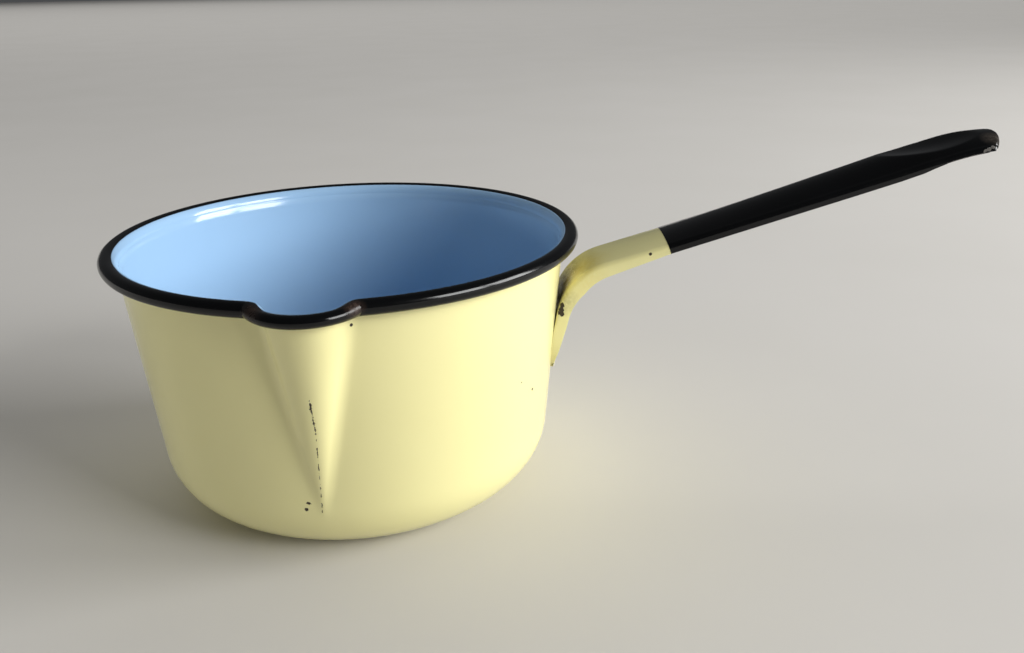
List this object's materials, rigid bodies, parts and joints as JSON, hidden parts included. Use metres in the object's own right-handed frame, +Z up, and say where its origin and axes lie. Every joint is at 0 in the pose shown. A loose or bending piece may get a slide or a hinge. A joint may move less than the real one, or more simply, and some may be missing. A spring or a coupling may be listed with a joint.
{
  "type": "enamelled milk pan",
  "caption": "Vitreous-enamelled steel milk pan with a rolled black rim, a pressed pouring lip and a long pressed channel handle with a thumb leaf.",
  "frame": {"origin": "centre of the flat base, on the surface the pan stands on", "axes": "+Z up, +X out along the handle, -Y towards the pouring lip"},
  "size_m": [0.3185, 0.179, 0.1278],
  "materials": {
    "sheet_steel": "drawn low-carbon sheet steel, seen only where enamel has chipped",
    "yellow_enamel": "glossy fired vitreous enamel, pale yellow",
    "blue_enamel": "glossy fired vitreous enamel, light blue",
    "black_enamel": "glossy fired vitreous enamel, black",
    "weld_steel": "oxidised spot-weld nugget"
  },
  "bodies": {
    "root": {"vessel": "sheet_steel", "outer_enamel": "yellow_enamel", "inner_enamel": "blue_enamel", "rim_enamel": "black_enamel", "handle": "sheet_steel", "neck_enamel": "yellow_enamel", "grip_enamel": "black_enamel", "handle_welds": "weld_steel"}
  },
  "joints": []
}
